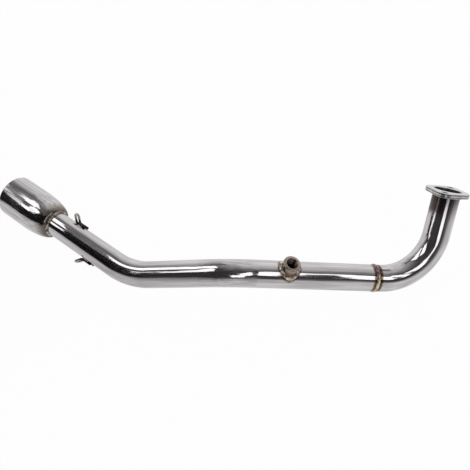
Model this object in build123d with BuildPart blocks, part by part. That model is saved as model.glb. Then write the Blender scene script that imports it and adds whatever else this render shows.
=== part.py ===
from build123d import *
import os
from math import radians, tan

# Polished stainless link pipe of a scooter exhaust. It lies loose on a flat floor, as it comes
# to rest, on its elbow, its low bend and its muffler socket. The origin is the centre of the
# gasket face of the header flange, +Z is up and the pipe runs towards -X. Millimetres.

# Tube
tube_outer_radius = 16.0
tube_wall = 1.0
# Clearance between the tube and what is slipped over it and welded
slip_clearance = 0.05

# Straight runs between the corners of the centre line
port_run = 112.4
main_run = 246.5
rise_run = 132.0
socket_run = 136.5
# Heading of each run from +X and its climb above the floor, in degrees, towards the flange
port_heading = 67.62
port_climb = 62.43
main_heading = 9.74
main_climb = -12.22
rise_heading = -19.28
rise_climb = 18.98
socket_heading = -38.98
socket_climb = -4.45
# Centre line radii of the three bends
elbow_bend_radius = 62.3
middle_bend_radius = 80.0
low_bend_radius = 100.0
# Straight tail of the elbow tube behind its bend, up to the butt seam
elbow_tail = 9.6

# Header flange, a laser-cut plate with two bolt lobes
flange_thickness = 5.0
flange_disc_radius = 25.0
bolt_spacing = 58.0
bolt_hole_radius = 4.25
lobe_radius = 9.5
flange_edge_break = 0.3
# The tube stops short of the gasket face, so that its end can be welded clear of the gasket
tube_setback = 1.0
# Heading of the line through the two bolts, seen from above
bolt_line_heading = 64.0

# Muffler socket, a bell that slips over the inlet pipe of the muffler
socket_bore_radius = 25.6
socket_wall = 2.0
socket_straight = 41.0
socket_length = 82.0
socket_neck_land = 2.5
socket_lip_round = 0.8
tube_lap = 5.0

# Sensor bung, a round boss with an M12 x 1.25 thread
bung_outer_radius = 10.0
bung_bore_radius = 5.4
bung_height = 10.0
# Hole in the tube under the bung, wide enough for the sensor's tip and thread
sensor_hole_radius = 6.5
bung_mouth_chamfer = 1.2
bung_rim_chamfer = 0.8
bung_distance = 67.8
bung_lean = 18.0

# Spring hooks, each a bent rod with two legs welded along the tube and a loop that stands off
hook_rod_radius = 1.5
hook_leg_spacing = 7.0
hook_leg_length = 15.0
hook_loop_length = 11.8
hook_loop_lift = 43.0
hook_bend_radius = 4.0
hook_loop_corner_radius = 3.3
hook_tip_round = 0.7
upper_hook_distance = 30.5
upper_hook_angle = -45.0
lower_hook_distance = 65.2
lower_hook_angle = 133.0

# Weld beads
fillet_leg = 3.0
fillet_crown = 0.5
seam_bead_width = 4.6
seam_bead_height = 0.9
bung_bead_width = 3.0
bung_bead_height = 2.8
bung_bead_round = 2.0
hook_bead_length = 10.0
hook_bead_sink = 0.8
hook_bead_round = 1.8


def run_direction(heading, climb):
    """Unit vector that points heading degrees from +X and climb degrees above the floor."""
    return Vector(1, 0, 0).rotate(Axis.Y, -climb).rotate(Axis.Z, heading)


def side_direction(run, angle):
    """Unit vector square to a run: straight up at angle 0, turned about the run by angle."""
    upright = (Vector(0, 0, 1) - run * run.Z).normalized()
    return upright.rotate(Axis((0, 0, 0), run), angle)


# Centre line, from the gasket face back to the closed end of the socket
port_direction = run_direction(port_heading, port_climb)
main_direction = run_direction(main_heading, main_climb)
rise_direction = run_direction(rise_heading, rise_climb)
socket_direction = run_direction(socket_heading, socket_climb)
port_face = Vector(0, 0, 0)
elbow_corner = port_face - port_direction * port_run
middle_corner = elbow_corner - main_direction * main_run
low_corner = middle_corner - rise_direction * rise_run
socket_end = low_corner - socket_direction * socket_run

# Ends of the two tubes
tube_inner_radius = tube_outer_radius - tube_wall
slip_radius = tube_outer_radius + slip_clearance
elbow_turn = port_direction.get_angle(main_direction)
elbow_tangent = elbow_bend_radius * tan(radians(elbow_turn / 2))
seam_point = elbow_corner - main_direction * (elbow_tangent + elbow_tail)
tube_mouth = port_face - port_direction * tube_setback
tube_tail = socket_end - socket_direction * tube_lap

# Planes that the pieces are drawn on
bolt_line = Vector(1, 0, 0).rotate(Axis.Z, bolt_line_heading)
flange_plane = Plane(origin=port_face, x_dir=bolt_line, z_dir=port_direction)
bung_foot = middle_corner + main_direction * bung_distance
bung_direction = side_direction(main_direction, bung_lean)
bung_plane = Plane(origin=bung_foot, x_dir=main_direction, z_dir=bung_direction)
port_axis = Axis(port_face, port_direction)
main_axis = Axis(seam_point, main_direction)
socket_axis = Axis(socket_end, socket_direction)


def section_plane(origin, run):
    """Plane through a run, with x along it and y square to it, for a section to revolve."""
    return Plane(origin=origin, x_dir=run, z_dir=run.cross(side_direction(run, 0)))


# Elbow tube: one bend from the flange down to the butt seam
with BuildPart() as elbow_tube:
    with BuildLine() as elbow_route:
        FilletPolyline(tube_mouth, elbow_corner, seam_point, radius=[elbow_bend_radius])
    with BuildSketch(Plane(origin=elbow_route.line @ 0, z_dir=elbow_route.line % 0)):
        Circle(tube_outer_radius)
        Circle(tube_inner_radius, mode=Mode.SUBTRACT)
    sweep()

# Main tube: from the seam over the middle bend and the low bend into the socket
with BuildPart() as main_tube:
    rise_middle = middle_corner - rise_direction * rise_run / 2
    bends = [
        (seam_point, middle_corner, rise_middle, middle_bend_radius),
        (rise_middle, low_corner, tube_tail, low_bend_radius),
    ]
    for bend_start, corner, bend_end, bend_radius in bends:
        with BuildLine() as main_route:
            FilletPolyline(bend_start, corner, bend_end, radius=[bend_radius])
        with BuildSketch(Plane(origin=main_route.line @ 0, z_dir=main_route.line % 0)):
            Circle(tube_outer_radius)
            Circle(tube_inner_radius, mode=Mode.SUBTRACT)
        sweep()
    # Hole under the bung, where the sensor reaches the gas
    with BuildSketch(bung_plane):
        Circle(sensor_hole_radius)
    extrude(amount=tube_outer_radius + bung_height, mode=Mode.SUBTRACT)

# Header flange: a disc and two bolt lobes, joined by straight sides that are tangent to both
with BuildPart() as header_flange:
    with BuildSketch(flange_plane):
        Circle(flange_disc_radius)
        with GridLocations(bolt_spacing, 1, 2, 1):
            Circle(lobe_radius)
        make_hull()
        Circle(slip_radius, mode=Mode.SUBTRACT)
        with GridLocations(bolt_spacing, 1, 2, 1):
            Circle(bolt_hole_radius, mode=Mode.SUBTRACT)
    extrude(amount=-flange_thickness)
    rims = header_flange.faces().filter_by(Axis(port_face, port_direction))
    chamfer([face.outer_wire().edges() for face in rims], length=flange_edge_break)

# Fillet weld in the corner between the flange's back and the elbow tube
with BuildPart() as flange_weld:
    with BuildSketch(section_plane(port_face - port_direction * flange_thickness, port_direction)):
        with BuildLine():
            root = (0, slip_radius)
            toe_on_plate = (0, slip_radius + fillet_leg)
            toe_on_tube = (-fillet_leg, slip_radius)
            crown = (-fillet_leg / 2 - fillet_crown / 2, slip_radius + fillet_leg / 2 + fillet_crown / 2)
            Line(root, toe_on_plate)
            ThreePointArc(toe_on_plate, crown, toe_on_tube)
            Line(toe_on_tube, root)
        make_face()
    revolve(axis=port_axis)

# Butt seam: a low bead round the joint of the two tubes
with BuildPart() as seam_weld:
    with BuildSketch(section_plane(seam_point, main_direction)):
        with BuildLine():
            left_toe = (-seam_bead_width / 2, slip_radius)
            right_toe = (seam_bead_width / 2, slip_radius)
            ThreePointArc(left_toe, (0, slip_radius + seam_bead_height), right_toe)
            Line(right_toe, left_toe)
        make_face()
    revolve(axis=main_axis)

# Muffler socket: a straight bore for the muffler's inlet, then a rounded shoulder to the neck
with BuildPart() as muffler_socket:
    socket_outer_radius = socket_bore_radius + socket_wall
    neck_outer_radius = slip_radius + socket_neck_land
    shoulder_length = socket_length - socket_straight
    with BuildSketch(section_plane(socket_end, socket_direction)):
        with BuildLine():
            mouth = -socket_length
            shoulder = -shoulder_length
            Line((mouth, socket_bore_radius), (mouth, socket_outer_radius))
            Line((mouth, socket_outer_radius), (shoulder, socket_outer_radius))
            EllipticalCenterArc(
                (shoulder, neck_outer_radius),
                shoulder_length,
                socket_outer_radius - neck_outer_radius,
                start_angle=0,
                arc_size=90,
            )
            Line((0, neck_outer_radius), (0, slip_radius))
            Line((0, slip_radius), (-socket_wall, slip_radius))
            EllipticalCenterArc(
                (shoulder, slip_radius),
                shoulder_length - socket_wall,
                socket_bore_radius - slip_radius,
                start_angle=0,
                arc_size=90,
            )
            Line((shoulder, socket_bore_radius), (mouth, socket_bore_radius))
        make_face()
    revolve(axis=socket_axis)
    lip = muffler_socket.faces().filter_by(GeomType.PLANE).sort_by(socket_axis)[0]
    fillet(lip.edges(), radius=socket_lip_round)

# Fillet weld between the socket's neck and the main tube
with BuildPart() as socket_weld:
    with BuildSketch(section_plane(socket_end, socket_direction)):
        with BuildLine():
            root = (0, slip_radius)
            toe_on_neck = (0, neck_outer_radius)
            toe_on_tube = (fillet_leg, slip_radius)
            crown = (
                fillet_leg / 2 + fillet_crown / 2,
                slip_radius + socket_neck_land / 2 + fillet_crown / 2,
            )
            Line(root, toe_on_neck)
            ThreePointArc(toe_on_neck, crown, toe_on_tube)
            Line(toe_on_tube, root)
        make_face()
    revolve(axis=socket_axis)

# Sensor bung: a turned boss, saddle cut to sit on the tube
with BuildPart() as sensor_bung:
    with BuildSketch(bung_plane):
        Circle(bung_outer_radius)
    extrude(amount=tube_outer_radius + bung_height)
    rim = sensor_bung.faces().sort_by(Axis(bung_foot, bung_direction))[-1]
    chamfer(rim.edges(), length=bung_rim_chamfer)
    with BuildSketch(bung_plane):
        Circle(bung_bore_radius)
    extrude(amount=tube_outer_radius + bung_height, mode=Mode.SUBTRACT)
    top = sensor_bung.faces().sort_by(Axis(bung_foot, bung_direction))[-1]
    chamfer(top.inner_wires().edges(), length=bung_mouth_chamfer)
    with BuildSketch(Plane(origin=bung_foot, z_dir=main_direction)):
        Circle(slip_radius)
    extrude(amount=2 * bung_outer_radius, both=True, mode=Mode.SUBTRACT)

# Weld round the foot of the bung: it follows the saddle between boss and tube
with BuildPart() as bung_weld:
    bead_radius = bung_outer_radius + bung_bead_width
    with BuildSketch(Plane(origin=bung_foot, z_dir=main_direction)):
        Circle(slip_radius + bung_bead_height)
    extrude(amount=bead_radius + bung_bead_width, both=True)
    with BuildSketch(bung_plane):
        Circle(bead_radius)
    extrude(amount=tube_outer_radius + bung_height, mode=Mode.INTERSECT)
    crest = bung_weld.faces().filter_by(GeomType.CYLINDER).sort_by(Axis(bung_foot, bung_direction))[-1]
    fillet(crest.edges(), radius=bung_bead_round)
    with BuildSketch(bung_plane):
        Circle(bung_outer_radius + slip_clearance)
    extrude(amount=tube_outer_radius + bung_height, mode=Mode.SUBTRACT)
    with BuildSketch(Plane(origin=bung_foot, z_dir=main_direction)):
        Circle(slip_radius)
    extrude(amount=2 * bead_radius, both=True, mode=Mode.SUBTRACT)


def hook_points(distance, angle):
    """Corners of one hook's rod: up one leg, round the loop and back down the other leg."""
    away = side_direction(socket_direction, angle)
    across = socket_direction.cross(away)
    seat_radius = slip_radius + hook_rod_radius
    half_spacing = hook_leg_spacing / 2
    seat_height = (seat_radius**2 - half_spacing**2) ** 0.5
    root = socket_end + socket_direction * distance + away * seat_height
    tip = root + socket_direction * hook_leg_length
    loop_direction = (-socket_direction).rotate(Axis((0, 0, 0), across), -hook_loop_lift)
    loop_end = root + loop_direction * hook_loop_length
    left = across * half_spacing
    return [tip + left, root + left, loop_end + left, loop_end - left, root - left, tip - left]


hook_radii = [
    hook_bend_radius,
    hook_loop_corner_radius,
    hook_loop_corner_radius,
    hook_bend_radius,
]

# Upper spring hook, on the far side of the socket run
with BuildPart() as upper_spring_hook:
    with BuildLine() as upper_rod:
        FilletPolyline(*hook_points(upper_hook_distance, upper_hook_angle), radius=hook_radii)
    with BuildSketch(Plane(origin=upper_rod.line @ 0, z_dir=upper_rod.line % 0)):
        Circle(hook_rod_radius)
    sweep()
    tips = upper_spring_hook.faces().filter_by(GeomType.PLANE)
    fillet(tips.edges(), radius=hook_tip_round)

# Lower spring hook, opposite the upper one and further from the socket
with BuildPart() as lower_spring_hook:
    with BuildLine() as lower_rod:
        FilletPolyline(*hook_points(lower_hook_distance, lower_hook_angle), radius=hook_radii)
    with BuildSketch(Plane(origin=lower_rod.line @ 0, z_dir=lower_rod.line % 0)):
        Circle(hook_rod_radius)
    sweep()
    tips = lower_spring_hook.faces().filter_by(GeomType.PLANE)
    fillet(tips.edges(), radius=hook_tip_round)


def hook_bead_plane(distance, angle):
    """Start of the bead between a hook's legs, centred on their length, square to the tube."""
    start = distance + (hook_leg_length - hook_bead_length) / 2
    height = slip_radius - hook_bead_sink
    origin = socket_end + socket_direction * start + side_direction(socket_direction, angle) * height
    return Plane(origin=origin, z_dir=socket_direction)


hook_bead_radius = hook_leg_spacing / 2 - hook_rod_radius - slip_clearance

# Bead laid between the legs of the upper hook
with BuildPart() as upper_hook_weld:
    with BuildSketch(hook_bead_plane(upper_hook_distance, upper_hook_angle)):
        Circle(hook_bead_radius)
    extrude(amount=hook_bead_length)
    fillet(upper_hook_weld.edges().filter_by(GeomType.CIRCLE), radius=hook_bead_round)
    with BuildSketch(Plane(origin=socket_end, z_dir=socket_direction)):
        Circle(slip_radius)
    extrude(amount=socket_run, mode=Mode.SUBTRACT)

# Bead laid between the legs of the lower hook
with BuildPart() as lower_hook_weld:
    with BuildSketch(hook_bead_plane(lower_hook_distance, lower_hook_angle)):
        Circle(hook_bead_radius)
    extrude(amount=hook_bead_length)
    fillet(lower_hook_weld.edges().filter_by(GeomType.CIRCLE), radius=hook_bead_round)
    with BuildSketch(Plane(origin=socket_end, z_dir=socket_direction)):
        Circle(slip_radius)
    extrude(amount=socket_run, mode=Mode.SUBTRACT)

os.makedirs("parts", exist_ok=True)
pieces = {
    "header_flange": header_flange,
    "flange_weld": flange_weld,
    "elbow_tube": elbow_tube,
    "seam_weld": seam_weld,
    "main_tube": main_tube,
    "sensor_bung": sensor_bung,
    "bung_weld": bung_weld,
    "upper_spring_hook": upper_spring_hook,
    "upper_hook_weld": upper_hook_weld,
    "lower_spring_hook": lower_spring_hook,
    "lower_hook_weld": lower_hook_weld,
    "muffler_socket": muffler_socket,
    "socket_weld": socket_weld,
}
for label, piece in pieces.items():
    piece.part.label = label
    export_step(piece.part, f"parts/{label}.step")
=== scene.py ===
from math import asin, cos, floor, pi, radians, sin, sqrt, tau

import bmesh
import bpy
from mathutils import Matrix, Vector, noise


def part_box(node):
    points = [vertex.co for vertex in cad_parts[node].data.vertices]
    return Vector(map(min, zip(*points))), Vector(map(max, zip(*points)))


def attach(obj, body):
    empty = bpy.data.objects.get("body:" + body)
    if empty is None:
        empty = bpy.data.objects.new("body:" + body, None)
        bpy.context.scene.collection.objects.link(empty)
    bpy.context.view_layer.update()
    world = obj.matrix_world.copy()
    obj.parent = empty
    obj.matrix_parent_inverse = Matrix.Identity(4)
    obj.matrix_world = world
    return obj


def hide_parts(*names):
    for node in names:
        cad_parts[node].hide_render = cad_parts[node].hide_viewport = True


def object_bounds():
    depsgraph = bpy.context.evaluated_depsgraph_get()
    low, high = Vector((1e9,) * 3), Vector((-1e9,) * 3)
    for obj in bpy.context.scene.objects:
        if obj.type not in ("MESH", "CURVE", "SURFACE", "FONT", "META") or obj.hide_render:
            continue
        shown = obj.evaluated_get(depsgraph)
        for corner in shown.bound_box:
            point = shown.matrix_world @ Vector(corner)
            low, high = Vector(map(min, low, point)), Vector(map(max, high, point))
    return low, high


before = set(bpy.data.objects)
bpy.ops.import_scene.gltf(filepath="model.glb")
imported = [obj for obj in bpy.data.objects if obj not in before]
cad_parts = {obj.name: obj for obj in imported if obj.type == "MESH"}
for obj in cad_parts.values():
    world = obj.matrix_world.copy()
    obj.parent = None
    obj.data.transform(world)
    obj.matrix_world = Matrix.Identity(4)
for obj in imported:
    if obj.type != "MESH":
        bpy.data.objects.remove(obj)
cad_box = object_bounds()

# Polished stainless link pipe of a scooter exhaust: finishes, weld beads and thread round the
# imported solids, in metres. Sizes below are given in millimetres and turned to metres once.
MM = 0.001

# Straight runs of the centre line from the gasket face back to the socket
PORT_RUN = 112.4 * MM
MAIN_RUN = 246.5 * MM
RISE_RUN = 132.0 * MM
SOCKET_RUN = 136.5 * MM
# Heading of each run from +X and its climb above the floor, in degrees
PORT_WAY = (67.62, 62.43)
MAIN_WAY = (9.74, -12.22)
RISE_WAY = (-19.28, 18.98)
SOCKET_WAY = (-38.98, -4.45)

TUBE_RADIUS = 16.0 * MM
TUBE_BORE = 15.0 * MM
FLANGE_THICKNESS = 5.0 * MM
FILLET_LEG = 3.0 * MM
FILLET_CROWN = 0.5 * MM
SOCKET_BORE = 25.6 * MM
NECK_LAND = 2.5 * MM
SEAM_WIDTH = 4.4 * MM
SEAM_HEIGHT = 0.85 * MM
BUNG_RADIUS = 10.0 * MM
BUNG_HEIGHT = 10.0 * MM
BUNG_DISTANCE = 67.8 * MM
BUNG_LEAN = 18.0
BUNG_CHAMFER = 0.8 * MM
BUNG_MOUTH = 1.2 * MM
BUNG_BEAD = 2.9 * MM
BUNG_BEAD_CROWN = 0.55 * MM
THREAD_MINOR = 5.4 * MM
THREAD_MAJOR = 6.0 * MM
THREAD_PITCH = 1.25 * MM
HOOK_ROD = 1.5 * MM
HOOK_LEG_SPACING = 7.0 * MM
HOOK_LEG_LENGTH = 15.0 * MM
HOOK_BEAD_LENGTH = 10.0 * MM
# Distance of each hook from the socket's end along the run, and its turn about the run
UPPER_HOOK = (30.5 * MM, -45.0)
LOWER_HOOK = (65.2 * MM, 133.0)

# Ripples that a filler rod leaves in a hand-laid bead, and the sections each is made of
RIPPLE_PITCH = 1.7 * MM
RIPPLE_DEPTH = 0.22 * MM
RIPPLE_SECTIONS = 9
# Sides of the threaded boss, and steps up its wall and down its bore
BOSS_SIDES = 120
BOSS_WALL_STEPS = 4
BOSS_BORE_STEPS = 84


def run_direction(way):
    """Unit vector with a heading from +X and a climb above the floor, both in degrees."""
    heading, climb = (radians(angle) for angle in way)
    return Vector((cos(climb) * cos(heading), cos(climb) * sin(heading), sin(climb)))


def side_direction(run, angle):
    """Unit vector square to a run: straight up at angle 0, turned about the run by angle."""
    upright = (Vector((0, 0, 1)) - run * run.z).normalized()
    return Matrix.Rotation(radians(angle), 3, run) @ upright


port = run_direction(PORT_WAY)
main = run_direction(MAIN_WAY)
rise = run_direction(RISE_WAY)
socket = run_direction(SOCKET_WAY)
port_face = Vector((0, 0, 0))
inner_side = (port * port.x - Vector((1, 0, 0))).normalized()
elbow_corner = port_face - port * PORT_RUN
middle_corner = elbow_corner - main * MAIN_RUN
low_corner = middle_corner - rise * RISE_RUN
socket_end = low_corner - socket * SOCKET_RUN
seam_low, seam_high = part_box("seam_weld")
seam_point = (seam_low + seam_high) / 2
seam_far_top = side_direction(main, -40.0)
bung_foot = middle_corner + main * BUNG_DISTANCE
bung_way = side_direction(main, BUNG_LEAN)


# Colour and nodes

def linear(code):
    """An sRGB hex colour as the linear colour that a shader takes."""
    levels = [int(code[i:i + 2], 16) / 255 for i in (1, 3, 5)]
    lit = [c / 12.92 if c <= 0.04045 else ((c + 0.055) / 1.055) ** 2.4 for c in levels]
    return tuple(lit) + (1.0,)


def add(tree, kind, inputs=None, **settings):
    """Adds a node with its settings; each input takes a value or a link from another socket."""
    made = tree.nodes.new(kind)
    for name, value in settings.items():
        setattr(made, name, value)
    for name, value in (inputs or {}).items():
        if isinstance(value, bpy.types.NodeSocket):
            tree.links.new(value, made.inputs[name])
        else:
            made.inputs[name].default_value = value
    return made


def ramp(tree, factor, stops):
    """Colours by position along a factor; each stop is (position, hex colour, strength)."""
    made = add(tree, "ShaderNodeValToRGB", {"Fac": factor})
    elements = made.color_ramp.elements
    while len(elements) < len(stops):
        elements.new(0.5)
    for element, (position, code, strength) in zip(elements, stops):
        element.position = position
        element.color = linear(code)[:3] + (strength,)
    return made


def math(tree, operation, first, second=0.0, clamp=False):
    """Result socket of one arithmetic step."""
    made = add(
        tree, "ShaderNodeMath", {0: first, 1: second}, operation=operation, use_clamp=clamp
    )
    return made.outputs[0]


def vector_math(tree, operation, first, second=(0, 0, 0), result="Vector"):
    """Result socket of one step on vectors. A length or a dot product comes out as Value."""
    made = add(tree, "ShaderNodeVectorMath", {0: first, 1: second}, operation=operation)
    return made.outputs[result]


def fade(tree, value, start, end, low=0.0, high=1.0):
    """Smooth step of a value from low at start to high at end."""
    made = add(
        tree,
        "ShaderNodeMapRange",
        {"Value": value, "From Min": start, "From Max": end, "To Min": low, "To Max": high},
        interpolation_type="SMOOTHSTEP",
    )
    return made.outputs["Result"]


def graph(tree, value, knots):
    """A level that runs straight from knot to knot; each knot is (value, level)."""
    level = knots[0][1]
    for (start, low), (end, high) in zip(knots, knots[1:]):
        span = {"Value": value, "From Min": start, "From Max": end, "To Max": high - low}
        made = add(tree, "ShaderNodeMapRange", span)
        level = math(tree, "ADD", made.outputs["Result"], level)
    return level


def mix(tree, factor, first, second):
    """Mixed colour of two."""
    made = add(tree, "ShaderNodeMix", data_type="RGBA")
    for name, value in (("Factor_Float", factor), ("A_Color", first), ("B_Color", second)):
        slot = next(s for s in made.inputs if s.identifier == name)
        if isinstance(value, bpy.types.NodeSocket):
            tree.links.new(value, slot)
        else:
            slot.default_value = value
    return next(s for s in made.outputs if s.identifier == "Result_Color")


def new_material(name):
    """A node material that has no nodes yet, and its tree."""
    material = bpy.data.materials.new(name)
    material.use_nodes = True
    material.node_tree.nodes.clear()
    return material, material.node_tree


def place_in_frame(tree):
    """Place of the surface in the shared frame, in metres."""
    return add(tree, "ShaderNodeTexCoord").outputs["Object"]


def finish_metal(tree, colour, roughness, normal):
    """Makes bare metal of that colour, roughness and normal the material's surface."""
    shader = add(
        tree,
        "ShaderNodeBsdfPrincipled",
        {"Base Color": colour, "Metallic": 1.0, "Roughness": roughness, "Normal": normal},
    )
    add(tree, "ShaderNodeOutputMaterial", {"Surface": shader.outputs["BSDF"]})


def grain(tree, place, size, detail=3.0, roughness=0.5, stretch=(1, 1, 1)):
    """Noise whose features are about size metres apart, between 0 and 1."""
    scaled = vector_math(tree, "MULTIPLY", place, stretch)
    made = add(
        tree,
        "ShaderNodeTexNoise",
        {"Vector": scaled, "Scale": 1 / size, "Detail": detail, "Roughness": roughness},
    )
    return made.outputs["Fac"]


def layers(tree, distance, size, detail):
    """Noise along one distance, with features about size metres apart, between 0 and 1."""
    made = add(
        tree,
        "ShaderNodeTexNoise",
        {"W": math(tree, "DIVIDE", distance, size), "Scale": 1.0, "Detail": detail},
        noise_dimensions="1D",
    )
    return made.outputs["Fac"]


def bump(tree, height, distance, strength, normal=None):
    """Normal of a surface that stands out by distance metres where the height is 1."""
    inputs = {"Height": height, "Distance": distance, "Strength": strength}
    if normal is not None:
        inputs["Normal"] = normal
    return add(tree, "ShaderNodeBump", inputs).outputs["Normal"]


def from_plane(tree, place, point, way):
    """Distance of the surface along way from a point, in metres, signed."""
    offset = vector_math(tree, "SUBTRACT", place, point)
    return vector_math(tree, "DOT_PRODUCT", offset, way, "Value")


def beside_plane(tree, place, point, way):
    """Distance of the surface from a plane to either side, in metres."""
    return math(tree, "ABSOLUTE", from_plane(tree, place, point, way))


def from_axis(tree, place, point, way):
    """Distance of the surface from an axis, in metres."""
    offset = vector_math(tree, "SUBTRACT", place, point)
    across = vector_math(tree, "CROSS_PRODUCT", offset, way)
    return vector_math(tree, "LENGTH", across, result="Value")


def from_point(tree, place, point):
    """Distance of the surface from a point, in metres."""
    return vector_math(tree, "DISTANCE", place, point, "Value")


# Heat tint of stainless steel, from a weld outwards. Beside a bead the oxide film thins, so the
# colour goes from maroon brown over a thin line of straw back to bare metal
TINT_REACH = 7.0 * MM
TINT = [
    (0.00, "#4A302E", 0.96),
    (0.38, "#5A3B3A", 0.92),
    (0.50, "#6E5640", 0.82),
    (0.60, "#A1996A", 0.45),
    (0.72, "#BDB99A", 0.18),
    (1.00, "#CAC6C8", 0.00),
]
# Behind the flange the film is thick and brown before it clears
FLANGE_TINT_REACH = 34.0 * MM
FLANGE_TINT = [
    (0.00, "#241E1D", 0.95),
    (0.20, "#3A302E", 0.80),
    (0.45, "#6B6261", 0.55),
    (0.70, "#8E8A8B", 0.30),
    (1.00, "#CAC6C8", 0.00),
]
# Over the socket's neck it is olive brown
NECK_TINT_REACH = 17.0 * MM
NECK_TINT = [
    (0.00, "#3E352C", 0.95),
    (0.20, "#5F5642", 0.85),
    (0.45, "#8A8269", 0.60),
    (0.70, "#A9A595", 0.30),
    (1.00, "#CAC6C8", 0.00),
]


def tinted(tree, place, base, distance, near, reach=TINT_REACH, strength=1.0, stops=TINT):
    """Lays the heat tint over a base colour by distance from the weld's middle."""
    wander = grain(tree, place, 3 * MM, 3.0)
    uneven = math(tree, "MULTIPLY", math(tree, "SUBTRACT", wander, 0.5), 2.6 * MM)
    moved = math(tree, "ADD", distance, uneven)
    share = math(tree, "DIVIDE", math(tree, "SUBTRACT", moved, near), reach, clamp=True)
    colours = ramp(tree, share, stops)
    weight = math(tree, "MULTIPLY", colours.outputs["Alpha"], strength)
    return mix(tree, weight, base, colours.outputs["Color"])


# Finishes

STREAK_LENGTH = 70.0 * MM


def lengthwise_streaks(tree, place, width, lean):
    """Shallow flats that a polishing belt leaves along a tube, width degrees apart: they follow
    the run through its bends, and tip the surface by up to lean. Gives the tipped normal and the
    streaks' own shade, 0 to 1."""
    normal = add(tree, "ShaderNodeNewGeometry").outputs["Normal"]
    turned = vector_math(tree, "MULTIPLY", normal, (1 / radians(width),) * 3)
    drift = vector_math(tree, "MULTIPLY", place, (1 / STREAK_LENGTH,) * 3)
    both = vector_math(tree, "ADD", turned, drift)
    lines = add(
        tree,
        "ShaderNodeTexNoise",
        {"Vector": both, "Scale": 1.0, "Detail": 3.0, "Roughness": 0.6},
    )
    middle = vector_math(tree, "SUBTRACT", lines.outputs["Color"], (0.5, 0.5, 0.5))
    tip = vector_math(tree, "MULTIPLY", middle, (lean,) * 3)
    tipped = vector_math(tree, "NORMALIZE", vector_math(tree, "ADD", normal, tip))
    return tipped, lines.outputs["Fac"]


def polished_stainless():
    """Stainless tube buffed to a mirror: near-black and white reflections run along it, belt
    flats along the run break their edges, and each weld is ringed by heat tint. Inside, the tube
    keeps its dull mill skin, painted darker near either open end as shade in the bore."""
    material, tree = new_material("mirror_buffed_stainless")
    place = place_in_frame(tree)
    tipped, streaks = lengthwise_streaks(tree, place, 9, 0.16)
    colour = mix(tree, fade(tree, streaks, 0.35, 0.65), linear("#BBB7B9"), linear("#D9D5D7"))
    seam = beside_plane(tree, place, seam_point, main)
    colour = tinted(tree, place, colour, seam, 1.6 * MM)
    neck = beside_plane(tree, place, socket_end, socket)
    colour = tinted(tree, place, colour, neck, 1.5 * MM, 5 * MM, 0.75)
    flange_back = beside_plane(tree, place, port_face, port)
    colour = tinted(
        tree, place, colour, flange_back, 6 * MM, FLANGE_TINT_REACH, 0.85, FLANGE_TINT
    )
    # The film behind the flange is thickest on the elbow's inner side
    left = from_plane(tree, place, port_face, inner_side)
    burnt = math(
        tree,
        "MULTIPLY",
        fade(tree, flange_back, 32 * MM, 23 * MM),
        fade(tree, left, 3 * MM, 7 * MM),
    )
    film = mix(tree, fade(tree, streaks, 0.4, 0.6), linear("#2C2322"), linear("#5A4B46"))
    colour = mix(tree, math(tree, "MULTIPLY", burnt, 0.85), colour, film)
    # Only the side that the boss stands on is tinted: the far side counts as 40 mm away
    behind = fade(
        tree, from_plane(tree, place, bung_foot, bung_way), 0.0, 3 * MM, 40 * MM, 0.0
    )
    bung = math(tree, "ADD", from_axis(tree, place, bung_foot, bung_way), behind)
    colour = tinted(tree, place, colour, bung, 12.2 * MM, 3.5 * MM, 0.8)
    for distance, angle in (UPPER_HOOK, LOWER_HOOK):
        middle = hook_seat(distance + HOOK_LEG_LENGTH / 2, angle)
        near_hook = from_point(tree, place, middle)
        colour = tinted(tree, place, colour, near_hook, 6.5 * MM, 4 * MM, 0.5)
    # The bore: within the wall's inner half at either open end. Its dull mill skin is painted dark
    # grey brown there, partly as painted shade in the bore
    inner_half = (TUBE_BORE + 0.2 * MM, TUBE_BORE + 0.6 * MM, 1.0, 0.0)
    port_bore_skin_and_shade = math(
        tree,
        "MULTIPLY",
        fade(tree, from_axis(tree, place, port_face, port), *inner_half),
        fade(tree, from_plane(tree, place, port_face, port), -62 * MM, -50 * MM),
    )
    tail_bore_skin_and_shade = math(
        tree,
        "MULTIPLY",
        fade(tree, from_axis(tree, place, socket_end, socket), *inner_half),
        fade(tree, from_plane(tree, place, socket_end, socket), 105 * MM, 90 * MM),
    )
    inside = math(tree, "MAXIMUM", port_bore_skin_and_shade, tail_bore_skin_and_shade)
    # Dull mill skin and painted shade: the bore is darkened to grey brown
    colour = mix(tree, inside, colour, linear("#6B655E"))
    dull = math(
        tree, "ADD", math(tree, "MULTIPLY", inside, 0.33), math(tree, "MULTIPLY", burnt, 0.12)
    )
    gloss = fade(tree, streaks, 0.4, 0.7, 0.05, 0.13)
    # Waves of the buffing wheel, a few hundredths of a millimetre deep, and a drawn-tube grain
    waves = bump(tree, grain(tree, place, 16 * MM, 1.5), 0.06 * MM, 1.0, tipped)
    pores = bump(tree, grain(tree, place, 0.7 * MM, 3.0), 0.002 * MM, 0.6, waves)
    finish_metal(tree, colour, math(tree, "ADD", gloss, dull), pores)
    return material


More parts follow.
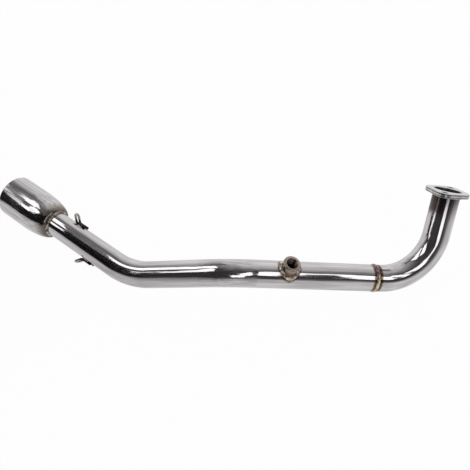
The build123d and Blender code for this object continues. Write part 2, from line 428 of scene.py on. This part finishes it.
def socket_stainless():
    """Spun stainless bell, buffed outside: the same mirror with faint rings of the spinning tool,
    and olive brown tint over its neck. The bore is left as spun, grey and dull."""
    material, tree = new_material("spun_buffed_stainless")
    place = place_in_frame(tree)
    tipped, streaks = lengthwise_streaks(tree, place, 7, 0.22)
    colour = mix(tree, fade(tree, streaks, 0.35, 0.65), linear("#B4B0B3"), linear("#DAD6D8"))
    depth = beside_plane(tree, place, socket_end, socket)
    colour = tinted(tree, place, colour, depth, 0.0, NECK_TINT_REACH, 0.85, NECK_TINT)
    off_axis = from_axis(tree, place, socket_end, socket)
    inside = math(
        tree,
        "MULTIPLY",
        fade(tree, off_axis, SOCKET_BORE + 0.4 * MM, SOCKET_BORE + 0.9 * MM, 1.0, 0.0),
        fade(tree, from_plane(tree, place, socket_end, socket), -40 * MM, -44 * MM),
    )
    colour = mix(tree, inside, colour, linear("#8A8782"))
    gloss = fade(tree, streaks, 0.4, 0.7, 0.06, 0.15)
    # The straight part is rubbed along the run and duller than the rounded shoulder
    rubbed = fade(tree, depth, 40 * MM, 44 * MM, 0.0, 0.10)
    outside = math(tree, "ADD", gloss, rubbed)
    roughness = math(tree, "ADD", outside, math(tree, "MULTIPLY", inside, 0.2))
    rings = bump(tree, layers(tree, depth, 2.5 * MM, 2.0), 0.006 * MM, 0.8, tipped)
    waves = bump(tree, grain(tree, place, 18 * MM, 1.5), 0.05 * MM, 1.0, rings)
    finish_metal(tree, colour, roughness, waves)
    return material


def laser_cut_plate():
    """Laser-cut stainless plate: ground satin faces, and a cut edge with light and dark layers
    and fine striations through the thickness."""
    material, tree = new_material("laser_cut_stainless_plate")
    place = place_in_frame(tree)
    depth = beside_plane(tree, place, port_face, port)
    face_grain = grain(tree, place, 0.9 * MM, 4.0, 0.6, (1, 5, 1))
    face = mix(tree, face_grain, linear("#CFCDCE"), linear("#E4E2E3"))
    on_edge = math(
        tree,
        "MULTIPLY",
        fade(tree, depth, 0.1 * MM, 0.35 * MM),
        fade(tree, depth, FLANGE_THICKNESS - 0.1 * MM, FLANGE_THICKNESS - 0.35 * MM),
    )
    wander = math(tree, "MULTIPLY", grain(tree, place, 7 * MM, 2.0), 0.2)
    level = math(tree, "ADD", layers(tree, depth, 0.9 * MM, 1.0), wander)
    edge = mix(tree, fade(tree, level, 0.5, 0.68), linear("#DAD8D9"), linear("#6B6867"))
    roughness = math(tree, "ADD", math(tree, "MULTIPLY", on_edge, 0.10), 0.24)
    striations = grain(tree, place, 0.8 * MM, 2.0, 0.5, (1, 1, 0.12))
    cut = bump(tree, math(tree, "MULTIPLY", striations, on_edge), 0.06 * MM, 0.8)
    ground = bump(tree, face_grain, 0.003 * MM, 0.6, cut)
    finish_metal(tree, mix(tree, on_edge, face, edge), roughness, ground)
    return material


def turned_boss():
    """Turned stainless boss after welding: fine tool rings and a grey brown film, darker and
    warmer towards its foot, and painted shade in the bore, darker below its rim."""
    material, tree = new_material("turned_heat_tinted_stainless")
    place = place_in_frame(tree)
    height = from_plane(tree, place, bung_foot, bung_way)
    off_axis = from_axis(tree, place, bung_foot, bung_way)
    film = fade(tree, height, TUBE_RADIUS + 8 * MM, TUBE_RADIUS + 1 * MM)
    speckle = grain(tree, place, 1.5 * MM, 4.0, 0.6)
    bare = mix(tree, speckle, linear("#83746B"), linear("#B9AEA4"))
    burnt = mix(tree, speckle, linear("#4A352B"), linear("#8A7768"))
    colour = mix(tree, film, bare, burnt)
    # Painted shade in the bore: near-black brown within the mouth, darker just below the rim
    mouth = THREAD_MINOR + BUNG_MOUTH
    rim = TUBE_RADIUS + BUNG_HEIGHT
    in_bore = fade(tree, off_axis, mouth + 0.2 * MM, mouth + 0.6 * MM, 1.0, 0.0)
    down = fade(tree, height, rim + 0.1 * MM, rim - 0.8 * MM, 0.6, 1.0)
    painted_bore_shade = math(tree, "MULTIPLY", in_bore, math(tree, "MULTIPLY", down, 0.74))
    colour = mix(tree, painted_bore_shade, colour, linear("#2A211C"))
    rings = layers(tree, math(tree, "ADD", height, off_axis), 0.35 * MM, 1.0)
    roughness = fade(tree, speckle, 0.3, 0.7, 0.26, 0.36)
    finish_metal(tree, colour, roughness, bump(tree, rings, 0.03 * MM, 0.7))
    return material


def weld_metal(name, light, warm, dark, gloss, maroon_past=None):
    """Hand-laid stainless bead: bright metal under a film that changes from ripple to ripple.
    maroon_past gives a point and a direction: further on in that direction the film is maroon."""
    material, tree = new_material(name)
    place = place_in_frame(tree)
    patches = grain(tree, place, 6 * MM, 2.0)
    ripples = grain(tree, place, 1.4 * MM, 3.0)
    colour = mix(tree, fade(tree, patches, 0.42, 0.62), linear(light), linear(warm))
    colour = mix(tree, fade(tree, ripples, 0.50, 0.72), colour, linear(dark))
    if maroon_past:
        far = fade(tree, from_plane(tree, place, *maroon_past), 2 * MM, 6 * MM)
        film = mix(tree, fade(tree, ripples, 0.42, 0.60), linear("#AC9096"), linear("#5E3A3C"))
        colour = mix(tree, far, colour, film)
    roughness = fade(tree, ripples, 0.3, 0.7, gloss, gloss + 0.12)
    pits = bump(tree, grain(tree, place, 0.5 * MM, 3.0), 0.02 * MM, 0.5)
    finish_metal(tree, colour, roughness, pits)
    return material


def drawn_rod():
    """Drawn stainless rod, welded at its legs: the legs are black brown from the heat and the
    loop is bare satin grey."""
    material, tree = new_material("drawn_heat_tinted_stainless_rod")
    place = place_in_frame(tree)
    bare = mix(tree, grain(tree, place, 2 * MM), linear("#A6A4A1"), linear("#C2C0BD"))
    film = mix(tree, grain(tree, place, 2.5 * MM), linear("#14110F"), linear("#352B25"))
    lift = math(tree, "SUBTRACT", from_axis(tree, place, socket_end, socket), TUBE_RADIUS)
    burnt = fade(tree, lift, 6.5 * MM, 3.2 * MM)
    roughness = fade(tree, grain(tree, place, 1.2 * MM), 0.3, 0.7, 0.24, 0.34)
    lines = bump(tree, grain(tree, place, 0.5 * MM, 2.0), 0.01 * MM, 0.6)
    finish_metal(tree, mix(tree, burnt, bare, film), roughness, lines)
    return material


# Weld beads and thread as meshes

def hook_seat(distance, angle):
    """Point on the tube's skin in line with a hook's middle."""
    return socket_end + socket * distance + side_direction(socket, angle) * TUBE_RADIUS


def mesh_object(name, mesh, material):
    """An object of the scene from a mesh under construction, which ends here."""
    data = bpy.data.meshes.new(name)
    mesh.to_mesh(data)
    mesh.free()
    data.materials.append(material)
    made = bpy.data.objects.new(name, data)
    bpy.context.scene.collection.objects.link(made)
    return made


def add_skin(mesh, loops, closed):
    """Adds a surface that joins loops of points, all of one length, either end to end or with
    a cap at each end."""
    rows = [[mesh.verts.new(point) for point in loop] for loop in loops]
    count = len(rows)
    sides = len(rows[0])
    for i in range(count if closed else count - 1):
        here, there = rows[i], rows[(i + 1) % count]
        for j in range(sides):
            k = (j + 1) % sides
            mesh.faces.new((here[j], here[k], there[k], there[j]))
    if not closed:
        mesh.faces.new(list(reversed(rows[0])))
        mesh.faces.new(rows[-1])


def add_piece(name, mesh, material, node):
    """A smooth piece in place of a node."""
    bmesh.ops.recalc_face_normals(mesh, faces=mesh.faces)
    for face in mesh.faces:
        face.smooth = True
    piece = mesh_object(name, mesh, material)
    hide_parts(node)
    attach(piece, "root")


def ripple(along, across, seed):
    """Height of the ripples at a place on a bead, 0 to 1: overlapping scales with a curved
    front."""
    wobble = noise.noise(Vector((along / (3.1 * RIPPLE_PITCH), seed, 0.0))) * 0.5
    phase = along / RIPPLE_PITCH + wobble + 0.55 * across * across
    share = phase - floor(phase)
    return (1 - share * share) * (1 - across * across)


def swell(along, seed):
    """Slow change of a hand-laid bead's size along it, about 1."""
    return 1 + 0.16 * noise.noise(Vector((along / (9 * MM), seed, 3.0)))


def bead_section(start, end, root, bulge, along, seed, steps=12):
    """Closed section of a bead from one toe to the other, with its root behind: bulge is the
    vector that the crown stands out by."""
    points = []
    out = bulge.normalized()
    size = swell(along, seed)
    for i in range(steps + 1):
        across = 2 * i / steps - 1
        crown = (1 - across * across) * size
        base = start.lerp(end, i / steps)
        scale = (ripple(along, across, seed) - 0.5) * RIPPLE_DEPTH
        points.append(base + bulge * crown + out * scale)
    points.append(root)
    return points


def places_round(radius):
    """Places round a bead laid at a radius: the turn in radians and the length laid so far."""
    count = round(tau * radius / RIPPLE_PITCH) * RIPPLE_SECTIONS
    return [(tau * i / count, i / RIPPLE_SECTIONS * RIPPLE_PITCH) for i in range(count)]


def ring_bead(name, node, material, centre, axis, start, end, root, crown, seed):
    """A bead laid round a tube. start, end and root are (along the axis, off the axis)."""
    first = side_direction(axis, 0)
    second = axis.cross(first)
    loops = []
    for turn, along in places_round(max(start[1], end[1])):
        off = first * cos(turn) + second * sin(turn)
        places = [centre + axis * p[0] + off * p[1] for p in (start, end, root)]
        edge = (places[1] - places[0]).normalized()
        bulge = off - edge * off.dot(edge)
        if bulge.length < 0.2:
            bulge = axis - edge * axis.dot(edge)
        bulge = bulge.normalized()
        if bulge.dot(places[0] - places[2]) < 0:
            bulge = -bulge
        loops.append(bead_section(*places, bulge * crown, along, seed))
    mesh = bmesh.new()
    add_skin(mesh, loops, True)
    add_piece(name, mesh, material, node)


def saddle(off):
    """Height of the tube's skin above its centre line, off to the side of the bung's axis."""
    return sqrt(max((TUBE_RADIUS + 0.02 * MM) ** 2 - off * off, 0.0))


def bung_place(radius, turn, height):
    """A point beside the bung's axis."""
    across = bung_way.cross(main)
    off = main * (radius * cos(turn)) + across * (radius * sin(turn))
    return bung_foot + off + bung_way * height


def bung_bead(material):
    """The bead round the foot of the boss, which follows the saddle between boss and tube."""
    loops = []
    for turn, along in places_round(BUNG_RADIUS + BUNG_BEAD / 2):
        leg = BUNG_BEAD * swell(along, 41.0)
        outer = BUNG_RADIUS + leg
        foot = saddle(BUNG_RADIUS * sin(turn))
        start = bung_place(outer, turn, saddle(outer * sin(turn)) - 0.05 * MM)
        end = bung_place(BUNG_RADIUS - 0.05 * MM, turn, foot + leg * 0.9)
        root = bung_place(BUNG_RADIUS - 0.3 * MM, turn, foot - 0.2 * MM)
        bulge = ((start + end) / 2 - root).normalized() * BUNG_BEAD_CROWN
        loops.append(bead_section(start, end, root, bulge, along, 7.0))
    mesh = bmesh.new()
    add_skin(mesh, loops, True)
    add_piece("bung_weld_bead", mesh, material, "bung_weld")


def straight_bead(start, way, out, width, height, length, seed):
    """Loops of a short bead along a way: out is square to the surface under it."""
    sunk = 0.5 * MM
    across = way.cross(out)
    steps = int(length / RIPPLE_PITCH * RIPPLE_SECTIONS)
    loops = []
    for i in range(steps + 1):
        share = i / steps
        along = share * length
        taper = sqrt(max(1 - abs(2 * share - 1) ** 6, 0.03))
        half = width / 2 * taper
        low = start + way * along - out * sunk
        left, right = low - across * half, low + across * half
        bulge = out * (height * taper + sunk)
        loops.append(bead_section(left, right, low - out * 0.2 * MM, bulge, along, seed, 8))
    return loops


def hook_beads(name, hook, material, node, seed):
    """Bead between a hook's legs and a smaller one outside each leg, in one piece."""
    distance, angle = hook
    out = side_direction(socket, angle)
    across = socket.cross(out)
    first = distance + (HOOK_LEG_LENGTH - HOOK_BEAD_LENGTH) / 2
    outside = HOOK_LEG_SPACING / 2 + HOOK_ROD * 0.95
    # Shift from the hook's middle, width, height, and how much shorter the bead is at each end
    beads = [(0.0, 3.6 * MM, 1.5 * MM, 0.0)]
    beads += [(side * outside, 2.3 * MM, 1.0 * MM, 1.5 * MM) for side in (-1, 1)]
    mesh = bmesh.new()
    for i, (shift, width, height, delay) in enumerate(beads):
        lean = asin(shift / TUBE_RADIUS)
        normal = out * cos(lean) + across * sin(lean)
        start = socket_end + socket * (first + delay) + normal * TUBE_RADIUS
        length = HOOK_BEAD_LENGTH - 2 * delay
        loops = straight_bead(start, socket, normal, width, height, length, seed + i)
        add_skin(mesh, loops, False)
    add_piece(name, mesh, material, node)


def threaded_boss(material):
    """The boss with its real internal thread, saddle cut at its foot like the solid."""
    top = TUBE_RADIUS + BUNG_HEIGHT
    wall_top = top - BUNG_CHAMFER
    mouth_radius = THREAD_MINOR + BUNG_MOUTH + 0.1 * MM
    loops = []
    for i in range(BOSS_SIDES):
        turn = tau * i / BOSS_SIDES
        foot = saddle(BUNG_RADIUS * sin(turn))
        wall = [foot + (wall_top - foot) * k / BOSS_WALL_STEPS for k in range(BOSS_WALL_STEPS + 1)]
        loop = [(BUNG_RADIUS, height) for height in wall]
        loop += [(BUNG_RADIUS - BUNG_CHAMFER, top), (mouth_radius, top)]
        bottom = saddle(THREAD_MINOR * sin(turn)) + 0.05 * MM
        for k in range(BOSS_BORE_STEPS + 1):
            height = top - (top - bottom) * k / BOSS_BORE_STEPS
            phase = (height / THREAD_PITCH + turn / tau) % 1.0
            flank = min(max(abs(phase - 0.5) * 3.0 - 0.35, 0.0), 1.0)
            cut = THREAD_MINOR + (THREAD_MAJOR - THREAD_MINOR) * flank
            mouth = mouth_radius - (top - height)
            loop.append((max(cut, mouth), height))
        loops.append([bung_place(radius, turn, height) for radius, height in loop])
    mesh = bmesh.new()
    add_skin(mesh, loops, True)
    add_piece("threaded_sensor_boss", mesh, material, "sensor_bung")


# Finishes on the solids that stay
buffed = polished_stainless()
spun = socket_stainless()
plate = laser_cut_plate()
rod = drawn_rod()
boss = turned_boss()
STRAW_GOLD = ("#E8E0C2", "#AE9066", "#653C3C", 0.16)
seam_bead = weld_metal("straw_and_maroon_weld_bead", *STRAW_GOLD, (seam_point, seam_far_top))
gold_bead = weld_metal("straw_gold_weld_bead", *STRAW_GOLD)
brown_bead = weld_metal("brown_weld_bead", "#BDB6AC", "#6F5F50", "#3B2F2A", 0.20)
cream_bead = weld_metal("cream_weld_bead", "#F0E9DD", "#A08873", "#38241C", 0.18)
node_finish = {
    "elbow_tube": buffed,
    "main_tube": buffed,
    "muffler_socket": spun,
    "header_flange": plate,
    "upper_spring_hook": rod,
    "lower_spring_hook": rod,
    "flange_weld": brown_bead,
    "seam_weld": seam_bead,
    "socket_weld": brown_bead,
    "bung_weld": cream_bead,
    "upper_hook_weld": gold_bead,
    "lower_hook_weld": gold_bead,
    "sensor_bung": boss,
}
for node, finish in node_finish.items():
    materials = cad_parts[node].data.materials
    materials.clear()
    materials.append(finish)

# Beads in place of the smooth solids
ring_bead(
    "seam_weld_bead", "seam_weld", seam_bead, seam_point, main,
    start=(-SEAM_WIDTH / 2, TUBE_RADIUS), end=(SEAM_WIDTH / 2, TUBE_RADIUS),
    root=(0, TUBE_RADIUS - 0.4 * MM), crown=SEAM_HEIGHT, seed=2.0,
)
ring_bead(
    "flange_weld_bead", "flange_weld", brown_bead, port_face - port * FLANGE_THICKNESS, port,
    start=(-FILLET_LEG, TUBE_RADIUS), end=(0.0, TUBE_RADIUS + FILLET_LEG),
    root=(0.1 * MM, TUBE_RADIUS - 0.1 * MM), crown=FILLET_CROWN, seed=11.0,
)
ring_bead(
    "socket_weld_bead", "socket_weld", brown_bead, socket_end, socket,
    start=(FILLET_LEG, TUBE_RADIUS), end=(0.0, TUBE_RADIUS + NECK_LAND),
    root=(-0.1 * MM, TUBE_RADIUS - 0.1 * MM), crown=FILLET_CROWN, seed=23.0,
)
bung_bead(cream_bead)
threaded_boss(boss)
hook_beads("upper_hook_weld_beads", UPPER_HOOK, gold_bead, "upper_hook_weld", 31.0)
hook_beads("lower_hook_weld_beads", LOWER_HOOK, gold_bead, "lower_hook_weld", 57.0)


# Studio: a pale table, matt cards over it, and pale walls with soft panels of light

# Level of the table in the metal by Y in metres, under the main run and under the socket, and
# where along X the socket's level turns into the main run's
TABLE_UNDER_MAIN = [(-3.0, 0.15), (-0.65, 0.42), (-0.30, 0.60), (-0.13, 0.88)]
TABLE_UNDER_SOCKET = [(-1.0, 0.12), (-0.30, 0.22), (-0.14, 0.55), (0.02, 0.88)]
TABLE_TURN = (-0.43, -0.24)
# Share of the table's own light: the rest of what is seen is the lit paper with its shadow
GLOW_TO_CAMERA = 0.975
GLOW_TO_METAL = 0.8


def stage_sheet(name, corners, material):
    """A flat sheet of the studio."""
    mesh = bmesh.new()
    mesh.faces.new([mesh.verts.new(corner) for corner in corners])
    sheet = mesh_object(name, mesh, material)
    return sheet


def table_paper():
    """Pale paper. The camera sees it white with the pipe's soft shadow. In the metal it is light
    under the pipe and falls off towards the viewer, sooner at the socket's end."""
    material, tree = new_material("pale_table_paper")
    place = place_in_frame(tree)
    tone = mix(tree, grain(tree, place, 40 * MM), linear("#F2F2F2"), linear("#F5F5F5"))
    paper = add(tree, "ShaderNodeBsdfDiffuse", {"Color": tone})
    parts = add(tree, "ShaderNodeSeparateXYZ", {0: place})
    under_main = graph(tree, parts.outputs["Y"], TABLE_UNDER_MAIN)
    under_socket = graph(tree, parts.outputs["Y"], TABLE_UNDER_SOCKET)
    along = fade(tree, parts.outputs["X"], *TABLE_TURN)
    mirrored = mix(tree, along, under_socket, under_main)
    path = add(tree, "ShaderNodeLightPath")
    seen = path.outputs["Is Camera Ray"]
    glow = add(tree, "ShaderNodeEmission", {"Color": mix(tree, seen, mirrored, (1, 1, 1, 1))})
    to_camera = math(tree, "MULTIPLY", seen, GLOW_TO_CAMERA)
    to_metal = math(tree, "MULTIPLY", path.outputs["Is Glossy Ray"], GLOW_TO_METAL)
    share = math(tree, "MAXIMUM", to_camera, to_metal)
    both = add(tree, "ShaderNodeMixShader", {0: share, 1: paper.outputs[0], 2: glow.outputs[0]})
    add(tree, "ShaderNodeOutputMaterial", {"Surface": both.outputs[0]})
    return material


def matt_card(name, tone):
    """Matt card of one tone."""
    material, tree = new_material(name)
    shader = add(
        tree,
        "ShaderNodeBsdfPrincipled",
        {"Base Color": linear(tone), "Roughness": 1.0, "Specular IOR Level": 0.0},
    )
    add(tree, "ShaderNodeOutputMaterial", {"Surface": shader.outputs["BSDF"]})
    return material


# The table reaches this far from the gasket face to each side
TABLE = 4.0
table_level = cad_box[0].z
ways = ((-TABLE, -TABLE), (TABLE, -TABLE), (TABLE, TABLE), (-TABLE, TABLE))
stage_sheet("table_top", [(x, y, table_level) for x, y in ways], table_paper())
# Matt cards over the socket's half of the pipe, level with the gasket face, and one upright at
# its far left: they keep the panels off its slanting run and off the socket's straight part.
# Each has a tone and corners in millimetres, and the camera doesn't see it
CARDS = {
    "over_dark": ("#4A4A4A", [
        (-452, -35, 0), (-480, -60, 0), (-505, -85, 0), (-530, -100, 0), (-560, -140, 0),
        (-780, -140, 0), (-820, 75, 0), (-645, 75, 0), (-636, 45, 0), (-640, 8, 0),
        (-612, -4, 0), (-545, 3, 0), (-520, 0, 0), (-500, -10, 0), (-470, -30, 0),
    ]),
    "over_grey": ("#CFCFCF", [
        (-520, 0, 0), (-512, 30, 0), (-500, 42, 0), (-470, 26, 0), (-440, 5, 0),
        (-434, -8, 0), (-452, -35, 0), (-470, -30, 0), (-500, -10, 0),
    ]),
    "over_pale": ("#EDEDED", [
        (-606, 95, 0), (-598, 70, 0), (-578, 56, 0), (-566, 64, 0), (-560, 82, 0),
        (-572, 104, 0),
    ]),
    "upright": ("#3A3A3A", [
        (-600, -200, -70), (-600, 140, -70), (-600, 140, -20), (-600, -8, -20),
        (-600, -8, 5), (-600, -200, 5),
    ]),
}
for name, (tone, corners) in CARDS.items():
    places = [Vector(corner) * MM for corner in corners]
    card = stage_sheet("card_" + name, places, matt_card("matt_card_" + name, tone))
    card.visible_camera = False

# Directions in the studio are two angles in degrees: to the right of straight ahead, and up
# from the viewer's side over the top to the far side.
# Brightness of the walls by the second angle, at the left and at the right, and the first
# angle over which the left turns into the right
LEFT_WALL = [
    (-90, 0.90), (0, 0.05), (84, 0.05), (96, 0.13), (112, 0.22), (125, 0.36), (138, 0.45),
    (150, 0.75), (175, 0.95),
]
RIGHT_WALL = [
    (-90, 0.90), (-2, 0.22), (14, 0.06), (58, 0.08), (80, 0.28), (90, 0.45), (112, 0.75),
    (130, 0.85), (150, 0.95),
]
WALL_TURN = (-30, 15)
# Panels of light, and dark gaps: from and to in the first angle, lower and upper edge by the
# first angle, brightness. A later one lies over those before it
PANELS = [
    (-33, -9, [(-33, 116), (-9, 112)], [(-33, 131), (-9, 129)], 0.20),
    (-62, -30, [(-62, 61), (-30, 61)], [(-62, 84), (-30, 84)], 1.9),
    (
        -56, -22,
        [(-56, 100), (-46, 99), (-40, 97), (-36, 93), (-30, 88), (-22, 88)],
        [(-56, 121), (-40, 121), (-33, 114), (-22, 109)],
        1.9,
    ),
    (
        -7, 58,
        [
            (-7, 12), (11, 12), (12, 27), (27, 28), (34, 29), (36, 43), (37.5, 52), (40, 53),
            (41.5, 25), (58, 23),
        ],
        [
            (-7, 20), (2, 24), (5, 42), (17, 52), (30, 57), (34, 66), (38, 62), (42, 58),
            (58, 58),
        ],
        1.9,
    ),
    (24.3, 29, [(24, 0), (29, 0)], [(24, 70), (29, 70)], 0.08),
    (-90, -65, [(-90, 24), (-65, 22)], [(-90, 48), (-65, 56)], 1.6),
]
# Half the width of a panel's soft edge
PANEL_BLUR = 1.0


def studio_walls():
    """The surrounding that lights the pipe and shows in it."""
    world = bpy.data.worlds.new("light_tent")
    bpy.context.scene.world = world
    world.use_nodes = True
    tree = world.node_tree
    tree.nodes.clear()
    way = add(tree, "ShaderNodeTexCoord").outputs["Generated"]
    parts = add(tree, "ShaderNodeSeparateXYZ", {0: way})
    ahead = math(tree, "MULTIPLY", parts.outputs["Y"], -1.0)
    up = math(tree, "MULTIPLY", math(tree, "ARCTAN2", parts.outputs["Z"], ahead), 180 / pi)
    # Below straight down comes the far side: the angle runs from -90 to 270
    past_down = math(tree, "LESS_THAN", up, -90.0)
    over = math(tree, "ADD", up, math(tree, "MULTIPLY", past_down, 360.0))
    right = math(tree, "MULTIPLY", math(tree, "ARCSINE", parts.outputs["X"]), 180 / pi)
    left_wall = graph(tree, over, LEFT_WALL)
    right_wall = graph(tree, over, RIGHT_WALL)
    turn = fade(tree, right, *WALL_TURN)
    difference = math(tree, "SUBTRACT", right_wall, left_wall)
    brightness = math(tree, "ADD", left_wall, math(tree, "MULTIPLY", difference, turn))
    for start, end, lower, upper, strength in PANELS:
        edges = (
            math(tree, "SUBTRACT", right, start),
            math(tree, "SUBTRACT", end, right),
            math(tree, "SUBTRACT", over, graph(tree, right, lower)),
            math(tree, "SUBTRACT", graph(tree, right, upper), over),
        )
        inside = 1.0
        for distance in edges:
            within = fade(tree, distance, -PANEL_BLUR, PANEL_BLUR)
            inside = math(tree, "MULTIPLY", within, inside)
        extra = math(tree, "MULTIPLY", inside, math(tree, "SUBTRACT", strength, brightness))
        brightness = math(tree, "ADD", brightness, extra)
    lit = add(tree, "ShaderNodeBackground", {"Color": (1, 1, 1, 1), "Strength": brightness})
    white = add(tree, "ShaderNodeBackground", {"Color": (1, 1, 1, 1), "Strength": 1.0})
    seen = add(tree, "ShaderNodeLightPath").outputs["Is Camera Ray"]
    both = add(tree, "ShaderNodeMixShader", {0: seen, 1: lit.outputs[0], 2: white.outputs[0]})
    add(tree, "ShaderNodeOutputWorld", {"Surface": both.outputs[0]})


studio_walls()

# Camera, at the photo's angle above the table
CAMERA_PLACE = Vector((-246.785, -612.945, 454.622)) * MM
CAMERA_RIGHT = Vector((0.99998778, 0.00002075, -0.00494434))
CAMERA_UP = Vector((0.00374896, 0.64880234, 0.76094774))
LENS = 49.79
SENSOR = 36.0

lens = bpy.data.cameras.new("camera")
lens.lens = LENS
lens.sensor_width = SENSOR
lens.clip_start = 0.01
camera = bpy.data.objects.new("camera", lens)
back = CAMERA_RIGHT.cross(CAMERA_UP)
turned = Matrix((CAMERA_RIGHT, CAMERA_UP, back)).transposed()
camera.matrix_world = Matrix.Translation(CAMERA_PLACE) @ turned.to_4x4()
bpy.context.scene.collection.objects.link(camera)
bpy.context.scene.camera = camera
bpy.context.scene.view_settings.view_transform = "Standard"
